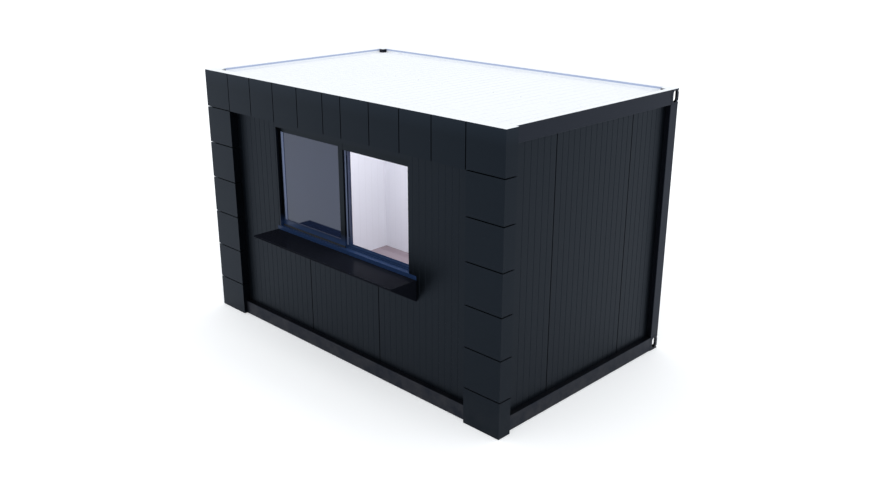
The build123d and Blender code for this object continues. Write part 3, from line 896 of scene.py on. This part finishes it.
def boards_recipe(start, end, size, material):
    """Staggered boards that fill a box, cut off at its edges, each with a random tone."""
    recipe = Recipe("floor_boards")
    long_side, wide_side, gap, seed, material = recipe.settings(
        Board_Length=size.board_length, Board_Width=size.board_width,
        Board_Gap=size.board_gap, Seed=size.seed, Material=material,
    )
    reach = end - start
    columns = int(reach.x / size.board_length) + 3
    rows = int(reach.y / size.board_width) + 1
    grid = recipe.node(
        "GeometryNodeMeshGrid", inputs={
            "Size X": recipe.times(long_side, columns - 1.0),
            "Size Y": recipe.times(wide_side, rows - 1.0),
            "Vertices X": columns, "Vertices Y": rows,
        },
    )
    index = recipe.node("GeometryNodeInputIndex")
    row = recipe.sum(index, float(rows), "MODULO")
    shift = recipe.sum(recipe.times(row, ROW_SHIFT), 1.0, "MODULO")
    along = recipe.times(recipe.sum(shift, 0.5, "SUBTRACT"), long_side)
    middle = (start + end) / 2
    offset = recipe.node(
        "ShaderNodeCombineXYZ", {}, {"X": recipe.sum(along, middle.x), "Y": middle.y, "Z": middle.z}
    )
    placed = recipe.node("GeometryNodeSetPosition", inputs={"Geometry": grid, "Offset": offset})
    board = recipe.node("GeometryNodeMeshCube", inputs={
        "Size": recipe.node("ShaderNodeCombineXYZ", {}, {
            "X": recipe.sum(long_side, gap, "SUBTRACT"),
            "Y": recipe.sum(wide_side, gap, "SUBTRACT"), "Z": reach.z,
        }),
    })
    where = recipe.node("GeometryNodeInputPosition")
    place = recipe.node("ShaderNodeSeparateXYZ", {}, {0: where}, "X")
    away = recipe.node(
        "ShaderNodeMath", {"operation": "ABSOLUTE"}, {0: recipe.sum(place, middle.x, "SUBTRACT")}
    )
    limit = recipe.sum(recipe.times(long_side, 0.5), reach.x / 2 - SHORTEST_BOARD)
    outside = recipe.node(
        "FunctionNodeCompare", {"data_type": "FLOAT", "operation": "GREATER_THAN"},
        {0: away, 1: limit},
    )
    kept = recipe.node(
        "GeometryNodeDeleteGeometry", {"domain": "POINT"},
        {"Geometry": placed, "Selection": outside},
    )
    tone = recipe.node("FunctionNodeRandomValue", {"data_type": "FLOAT"}, {"Seed": seed}, 1)
    toned = recipe.node(
        "GeometryNodeStoreNamedAttribute", {"data_type": "FLOAT", "domain": "POINT"},
        {"Geometry": kept, "Name": "board_tone", "Value": tone},
    )
    boards = recipe.node(
        "GeometryNodeInstanceOnPoints", inputs={"Points": toned, "Instance": board}
    )
    real = recipe.node("GeometryNodeRealizeInstances", inputs={"Geometry": boards})
    cut = recipe.node("GeometryNodeInputPosition")
    for operation, corner in (("MAXIMUM", start), ("MINIMUM", end)):
        cut = recipe.node("ShaderNodeVectorMath", {"operation": operation}, {0: cut, 1: corner})
    trimmed = recipe.node("GeometryNodeSetPosition", inputs={"Geometry": real, "Position": cut})
    recipe.finish(trimmed, material)
    return recipe


# Pieces, one operator each


class CONTAINER_OT_frame(bpy.types.Operator):
    """Finish the steel frame and lay the weld beads between its rails and castings"""

    bl_idname = "container.frame"
    bl_label = "Steel frame"

    def execute(self, context):
        nodes = []
        for level in ("bottom", "top"):
            nodes.append(f"corner_castings_{level}")
            nodes += [f"{level}_rail_{side}" for side in ("front", "back", "left", "right")]
        for side in ("front", "back"):
            nodes += [f"corner_post_{side}_{end}" for end in ("left", "right")]
        dress(nodes, frame_coat())
        recipe = weld_recipe(sizes().weld_radius, frame_coat())
        recipe.lay("frame_welds", "frame_paint", self.runs())
        return {"FINISHED"}

    @staticmethod
    def runs():
        """The seams on the front and the ends where rails and posts meet the castings.

        The back's seams are ground flush, as that face is the container's outermost.
        """
        start, end = low("corner_castings_bottom"), high("corner_castings_top")
        rail, eaves = "bottom_rail_front", "top_rail_front"
        heights = [(low(node).z, high(node).z) for node in (rail, eaves)]
        inner_x = high(rail).x
        seat = sizes().weld_radius * WELD_SEAT
        ends = (start.x + seat, end.x - seat)
        runs = []
        for x in (-inner_x, inner_x):
            runs += [((x, start.y + seat, z0), (x, start.y + seat, z1)) for z0, z1 in heights]
        for y in (low("bottom_rail_right").y, high("bottom_rail_right").y):
            runs += [((x, y, z0), (x, y, z1)) for z0, z1 in heights for x in ends]
        post = end.x - inner_x
        for x in ends:
            for z in (high(rail).z, low(eaves).z):
                runs.append(((x, end.y - post, z), (x, end.y - seat, z)))
        return runs


class CONTAINER_OT_walls(bpy.types.Operator):
    """Finish the ribbed outer wall panels"""

    bl_idname = "container.walls"
    bl_label = "Wall panels"

    def execute(self, context):
        front = ("left", "right", "above_window", "below_window")
        nodes = [f"front_wall_{part}" for part in front]
        nodes += [f"back_wall_{part}" for part in ("left", "middle", "right")]
        dress([*nodes, "left_wall_panels", "right_wall_panels"], panel_coat())
        return {"FINISHED"}


class CONTAINER_OT_linings(bpy.types.Operator):
    """Finish the white boards inside"""

    bl_idname = "container.linings"
    bl_label = "Inner linings"

    def execute(self, context):
        sides = ("front", "back", "left", "right")
        dress([*(f"{side}_lining" for side in sides), "ceiling_panel"], lining_board())
        return {"FINISHED"}


ROOF_HEAD = 0.55  # radius of a roof screw's head, as a share of its washer's
ROOF_HEAD_HEIGHT = 0.005
ROOF_ROW_INSET = 0.150
ROOF_ROW_EDGE = 0.05
ROOF_BED = 0.004  # depth of the sheet's valleys under its ribs
SEALANT_WIDTH = 0.004
SEALANT_HOLD = 0.0003  # by which the sealant reaches over the sheet's edge


class CONTAINER_OT_roof(bpy.types.Operator):
    """Finish the roof, set its rows of screws and seal the foot of its rim"""

    bl_idname = "container.roof"
    bl_label = "Roof"

    def execute(self, context):
        dress(["roof_sheet", "roof_capping"], roof_coat())
        dress(["roof_purlins"], zinc_coat())
        size = sizes()
        recipe = fastener_recipe(
            size.screw_pitch, size.screw_radius * ROOF_HEAD, ROOF_HEAD_HEIGHT, 6,
            size.screw_radius, roof_coat(),
        )
        recipe.lay("roof_screws", "roof_white", self.rows())
        self.sealant()
        return {"FINISHED"}

    @staticmethod
    def sealant():
        """A bead of sealant along the foot of the rim, between the castings."""
        start, end = low("roof_sheet"), high("roof_sheet")
        casting = high("top_rail_front").x
        front, back = low("top_rail_right").y, high("top_rail_right").y
        bottom, top = end.z - ROOF_BED, end.z + 0.001
        bead = Solid()
        for y in (start.y - SEALANT_HOLD, end.y + SEALANT_HOLD - SEALANT_WIDTH):
            bead.box((-casting, y, bottom), (casting, y + SEALANT_WIDTH, top), 0.0008)
        for x in (start.x - SEALANT_HOLD, end.x + SEALANT_HOLD - SEALANT_WIDTH):
            bead.box((x, front, bottom), (x + SEALANT_WIDTH, back, top), 0.0008)
        bead.place("roof_sealant", sealant_bead(), "roof_white")

    @staticmethod
    def rows():
        """A row of screws near the front edge, one in the middle and one near the back edge."""
        start, end = low("roof_sheet"), high("roof_sheet")
        level = end.z - ROOF_BED
        return [
            ((start.x + ROOF_ROW_INSET, y, level), (end.x - ROOF_ROW_INSET, y, level))
            for y in (start.y + ROOF_ROW_EDGE, (start.y + end.y) / 2, end.y - ROOF_ROW_EDGE)
        ]


class CONTAINER_OT_cladding(bpy.types.Operator):
    """Finish the folded cassettes of the fascia and the columns"""

    bl_idname = "container.cladding"
    bl_label = "Cladding"

    def execute(self, context):
        parts = ("fascia", "left_column", "right_column")
        dress([f"{part}_cassettes" for part in parts], cladding_coat())
        return {"FINISHED"}


JOINT_WIDTH = 0.010
WIDEST_GAP = 0.011  # between two solids that meet in a joint
CASSETTE_DEPTHS = (0.004, 0.022)  # of the gaskets, under the face of the cassettes
PANEL_DEPTHS = (0.005, 0.0139)
GASKET_PLAY = 0.00005
GASKET_SHORT = 0.002


class CONTAINER_OT_gaskets(bpy.types.Operator):
    """Press black gaskets into the upright joints of the fascia and the walls, a painted shade that
    darkens the gaps
    """

    bl_idname = "container.gaskets"
    bl_label = "Joint gaskets"

    def execute(self, context):
        self.press("fascia", ["fascia_cassettes"], 0, low, CASSETTE_DEPTHS)
        walls = (
            ("front", ["left", "below_window", "right"], 0, low),
            ("back", ["left", "middle", "right"], 0, high),
            ("left", ["panels"], 1, low),
            ("right", ["panels"], 1, high),
        )
        for side, parts, axis, corner in walls:
            nodes = [f"{side}_wall_{part}" for part in parts]
            self.press(side, nodes, axis, corner, PANEL_DEPTHS)
        return {"FINISHED"}

    @staticmethod
    def press(side, nodes, axis, corner, depths):
        """One gasket in each joint of a side's nodes, between two depths under their face."""
        name = f"{side}_gaskets"
        inward = 1 if corner is low else -1
        face = corner(nodes[0])[1 - axis]
        depth = sorted(face + inward * reach for reach in depths)
        half = JOINT_WIDTH / 2 - GASKET_PLAY
        gasket = Solid()
        found = joints(nodes, axis)
        if not found:
            raise RuntimeError(f"no joints found for {name}")
        for middle, bottom, top in found:
            corners = [(middle - half, depth[0]), (middle + half, depth[1])]
            if axis == 1:
                corners = [(across, along) for along, across in corners]
            gasket.box((*corners[0], bottom + GASKET_SHORT), (*corners[1], top - GASKET_SHORT))
        # The gaskets' black is painted shade in the joints.
        gasket.place(name, joint_shade_foam(), "window_frame")


class CONTAINER_OT_floor(bpy.types.Operator):
    """Lay the floor boards and finish what carries them"""

    bl_idname = "container.floor"
    bl_label = "Floor"

    def execute(self, context):
        dress(["floor_joists", "floor_sheet"], zinc_coat())
        dress(["floor_deck"], board_wood())
        start, end = low("floor_deck"), high("floor_deck")
        recipe = boards_recipe(start, end, sizes(), board_wood())
        recipe.lay("floor_boards", "floor_board", [(start, end)], replaced=["floor_deck"])
        return {"FINISHED"}


GLASS_GRIP = 0.0077  # by which the sashes' rebates hold the panes
BEAD_DEPTH = 0.004
REVEAL_SHEET = 0.003
SILL_STRIP_RISE = 0.018
COVER_PLAY = 0.001


class CONTAINER_OT_window(bpy.types.Operator):
    """Finish the serving window: reveal, sashes, panes, seals, beads and covers"""

    bl_idname = "container.window"
    bl_label = "Serving window"

    def execute(self, context):
        dress(["window_reveal", "outer_sash", "inner_guides"], window_coat())
        dress(["inner_sash"], inner_coat())
        dress(["outer_glass", "inner_glass"], pane_glass())
        dress(["window_seals"], brush_seal())
        self.beads()
        self.sill_shadow_strip()
        self.head_cover()
        return {"FINISHED"}

    @staticmethod
    def head_cover():
        """A folded cover on the head beside the outer sash, flush with the sash's face."""
        stile, face, foot = high("outer_sash").x, low("outer_sash").y, high("inner_sash").z
        end = high("inner_guides")
        cover = Solid()
        cover.box(
            (stile + COVER_PLAY, face + COVER_PLAY, foot + COVER_PLAY),
            (end.x, low("inner_guides").y + 0.0005, end.z), 0.001,
        )
        cover.place("head_cover", window_coat(), "window_frame")

    @staticmethod
    def beads():
        """A glazing bead round each pane, on its outer face."""
        width = sizes().bead
        for name in ("outer", "inner"):
            start, end = low(f"{name}_glass"), high(f"{name}_glass")
            x0, x1 = start.x + GLASS_GRIP, end.x - GLASS_GRIP
            z0, z1 = start.z + GLASS_GRIP, end.z - GLASS_GRIP
            y0, y1 = start.y - BEAD_DEPTH, start.y
            ring = Solid()
            ring.box((x0, y0, z0), (x1, y1, z0 + width), 0.001)
            ring.box((x0, y0, z1 - width), (x1, y1, z1), 0.001)
            ring.box((x0, y0, z0), (x0 + width, y1, z1), 0.001)
            ring.box((x1 - width, y0, z0), (x1, y1, z1), 0.001)
            ring.place(f"{name}_bead", glazing_bead(), "window_frame")

    @staticmethod
    def sill_shadow_strip():
        """A black rubber strip on the sill that closes the gap under the outer sash; its black is
        painted shadow, standing in for the shade in that gap.
        """
        start, end = low("outer_sash"), high("outer_sash")
        sill = low("window_reveal").z + REVEAL_SHEET
        top = sill + SILL_STRIP_RISE
        strip = Solid()
        strip.box((start.x, start.y - 0.004, sill), (end.x, start.y, top), 0.0012)
        strip.box((start.x, start.y - 0.001, sill), (end.x, start.y + 0.006, start.z), 0.0006)
        strip.place("sill_shadow_strip", rubber(), "window_frame")


BOLT_PITCH = 0.35
BOLT_HEIGHT = 0.006
BOLT_WASHER = 1.5  # radius of a bolt's washer, as a share of its head's
BOLT_INSET = 0.125
BOLT_LEVEL = 0.035
COUNTER_STEEL = 0.005


class CONTAINER_OT_counter(bpy.types.Operator):
    """Finish the counter shelf and its flashing, and add the bolts that hold it"""

    bl_idname = "container.counter"
    bl_label = "Counter"

    def execute(self, context):
        dress(["counter_top", "counter_brackets"], counter_gloss())
        # The flashing's navy is painted blue light from the counter.
        dress(["counter_upstand"], flashing_painted_bounce())
        start, end = low("counter_top"), high("counter_top")
        radius = sizes().bolt_radius
        recipe = fastener_recipe(
            BOLT_PITCH, radius, BOLT_HEIGHT, 6, radius * BOLT_WASHER, counter_gloss()
        )
        face = end.y - COUNTER_STEEL
        level = start.z + BOLT_LEVEL
        row = ((start.x + BOLT_INSET, face, level), (end.x - BOLT_INSET, face, level))
        recipe.lay("counter_bolts", "counter_black", [row], (0, -1, 0))
        return {"FINISHED"}


DOOR_SCREW_PITCH = 0.44
DOOR_SCREW_INSET = 0.016
FRAME_FACE = 0.022  # of the door frame's face, in from its outermost edge


class CONTAINER_OT_door(bpy.types.Operator):
    """Finish the plain door in the back wall and add its screws and lock cylinder"""

    bl_idname = "container.door"
    bl_label = "Back door"

    def execute(self, context):
        dress(["door_frame"], frame_coat())
        dress(["door_leaf"], door_coat())
        dress(["door_hinges", "door_handle"], brushed_steel())
        self.screws()
        self.cylinder()
        return {"FINISHED"}

    @staticmethod
    def screws():
        """Screws in the frame's upright members."""
        start, end = low("door_frame"), high("door_frame")
        face = end.y - FRAME_FACE
        bottom, top = start.z + 0.12, high("door_leaf").z - 0.08
        recipe = fastener_recipe(DOOR_SCREW_PITCH, 0.0035, 0.003, 10, 0.0055, brushed_steel())
        places = (start.x + DOOR_SCREW_INSET, end.x - DOOR_SCREW_INSET)
        rows = [((x, face, bottom), (x, face, top)) for x in places]
        recipe.lay("door_frame_screws", "door_metal", rows, (0, 1, 0))

    @staticmethod
    def cylinder():
        """The lock's cylinder in the handle's plate, with its key slot."""
        start, end = low("door_handle"), high("door_handle")
        x = end.x - 0.020
        plate = high("door_leaf").y + 0.008
        z = (start.z + end.z) / 2 - 0.036
        lock = Solid()
        lock.rod((x, plate - 0.002, z), (x, plate + 0.004, z), 0.0085, 24)
        slot = ((x - 0.0012, plate + 0.0035, z - 0.006), (x + 0.0012, plate + 0.0046, z + 0.006))
        lock.box(*slot, 0.0003)
        lock.place("door_lock", brushed_steel(), "door_metal")


# Place in metres, turn and tilt in degrees and focal length in millimetres
CAMERA_PLACE = (6.3008, -6.1206, 4.0315)
CAMERA_TURN = 44.885
CAMERA_TILT = -19.502
CAMERA_LENS = 37.836
CAMERA_SENSOR = 36.0
ZENITH_FROM = 0.75  # sine of the angle above the horizon from which the sky is all zenith


class CONTAINER_OT_stage(bpy.types.Operator):
    """Lay the pale floor and set the light and the camera"""

    bl_idname = "container.stage"
    bl_label = "Stage"

    def execute(self, context):
        self.floor()
        self.sky()
        self.room_lamp()
        self.camera()
        return {"FINISHED"}

    @staticmethod
    def floor():
        """A wide pale disc under the castings."""
        setting = stage_settings()
        disc = bmesh.new()
        bmesh.ops.create_circle(disc, cap_ends=True, segments=96, radius=setting.floor_radius)
        mesh = bpy.data.meshes.new("stage_floor")
        disc.to_mesh(mesh)
        disc.free()
        finish = Finish(
            "stage_floor", Roughness=0.9, Specular_IOR_Level=0.0, Emission_Strength=1.0
        )
        paper = finish.noise(0.6, 2.0)
        finish.feed("Base Color", finish.tone(setting.floor_colour, 0.004, paper))
        seen = sum(
            finish.node("ShaderNodeLightPath", output=f"Is {ray} Ray")
            for ray in ("Camera", "Glossy", "Transmission")
        )
        lift = (setting.floor_lift,) * 3
        share = seen.maths("MINIMUM", 1.0)
        finish.feed("Emission Color", finish.mix((0.0, 0.0, 0.0), lift, share))
        mesh.materials.append(finish.material)
        piece = put("stage_floor", mesh)
        piece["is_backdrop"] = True

    @staticmethod
    def sky():
        """A soft studio sky: a little cooler near the horizon, white to the camera."""
        setting = stage_settings()
        world = bpy.data.worlds.new("studio_sky")
        bpy.context.scene.world = world
        world.use_nodes = True
        tree = world.node_tree
        tree.nodes.clear()
        direction = add_node(tree, "ShaderNodeTexCoord").outputs["Generated"]
        height = add_node(tree, "ShaderNodeSeparateXYZ", {}, {0: direction}).outputs["Z"]
        ramp = add_node(tree, "ShaderNodeValToRGB", {}, {0: height})
        ramp.color_ramp.interpolation = "EASE"
        strength = max(setting.horizon_strength, setting.zenith_strength)
        stops = (
            (setting.horizon, setting.horizon_strength), (setting.zenith, setting.zenith_strength)
        )
        for stop, (tint, power) in zip(ramp.color_ramp.elements, stops):
            stop.color = (*(c * (power / strength) for c in tint), 1.0)
        ramp.color_ramp.elements[1].position = ZENITH_FROM
        light = add_node(
            tree, "ShaderNodeBackground", {}, {"Color": ramp.outputs["Color"], "Strength": strength}
        )
        white = add_node(tree, "ShaderNodeBackground", {}, {"Color": (1.0, 1.0, 1.0)})
        seen = add_node(tree, "ShaderNodeLightPath").outputs["Is Camera Ray"]
        blend = add_node(
            tree, "ShaderNodeMixShader", {}, {0: seen, 1: light.outputs[0], 2: white.outputs[0]}
        )
        add_node(tree, "ShaderNodeOutputWorld", {}, {"Surface": blend.outputs[0]})

    @staticmethod
    def room_lamp():
        """A wide soft lamp under the ceiling, unseen itself, that lights the white room."""
        start, end = low("ceiling_panel"), high("ceiling_panel")
        lamp = bpy.data.lights.new("room_lamp", "AREA")
        lamp.shape = "RECTANGLE"
        lamp.size = (end.x - start.x) * 0.9
        lamp.size_y = (end.y - start.y) * 0.85
        lamp.energy = stage_settings().room_light
        holder = put("room_lamp", lamp)
        holder.location = (0.0, (start.y + end.y) / 2, start.z - 0.01)
        holder.visible_camera = False
        holder.visible_glossy = False
        holder.visible_transmission = False

    @staticmethod
    def camera():
        """The photograph's camera, found from the corners of the container."""
        lens = bpy.data.cameras.new("camera")
        lens.lens = CAMERA_LENS
        lens.sensor_width = CAMERA_SENSOR
        holder = put("camera", lens)
        holder.location = CAMERA_PLACE
        holder.rotation_euler = (radians(90.0 + CAMERA_TILT), 0.0, radians(CAMERA_TURN))
        bpy.context.scene.camera = holder


OPERATORS = (
    CONTAINER_OT_frame, CONTAINER_OT_walls, CONTAINER_OT_linings, CONTAINER_OT_roof,
    CONTAINER_OT_cladding, CONTAINER_OT_gaskets, CONTAINER_OT_floor, CONTAINER_OT_window,
    CONTAINER_OT_counter, CONTAINER_OT_door, CONTAINER_OT_stage,
)


class CONTAINER_PT_build(bpy.types.Panel):
    """Sales container"""

    bl_label = "Sales container"
    bl_space_type = "VIEW_3D"
    bl_region_type = "UI"
    bl_category = "Container"

    def draw(self, context):
        for settings in (colours(), sizes(), stage_settings()):
            column = self.layout.column()
            for name in settings.__annotations__:
                column.prop(settings, name)
        for operator in OPERATORS:
            self.layout.operator(operator.bl_idname)


SETTINGS = (ContainerColours, ContainerSizes, ContainerStage)


def register():
    for kind in (*SETTINGS, *OPERATORS, CONTAINER_PT_build):
        bpy.utils.register_class(kind)
    bpy.types.Scene.container_colours = PointerProperty(type=ContainerColours)
    bpy.types.Scene.container_sizes = PointerProperty(type=ContainerSizes)
    bpy.types.Scene.container_stage = PointerProperty(type=ContainerStage)


def unregister():
    del bpy.types.Scene.container_stage
    del bpy.types.Scene.container_sizes
    del bpy.types.Scene.container_colours
    for kind in reversed((*SETTINGS, *OPERATORS, CONTAINER_PT_build)):
        bpy.utils.unregister_class(kind)


def plain(box):
    """A box as plain lists of numbers."""
    return [[float(c) for c in corner] for corner in box]


def main():
    register()
    bpy.context.scene.view_settings.view_transform = "Standard"
    for operator in OPERATORS:
        group, name = operator.bl_idname.split(".")
        getattr(getattr(bpy.ops, group), name)()
    {"cad": plain(CAD_BOX), "visual": plain(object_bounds())}


if __name__ == "__main__":
    main()
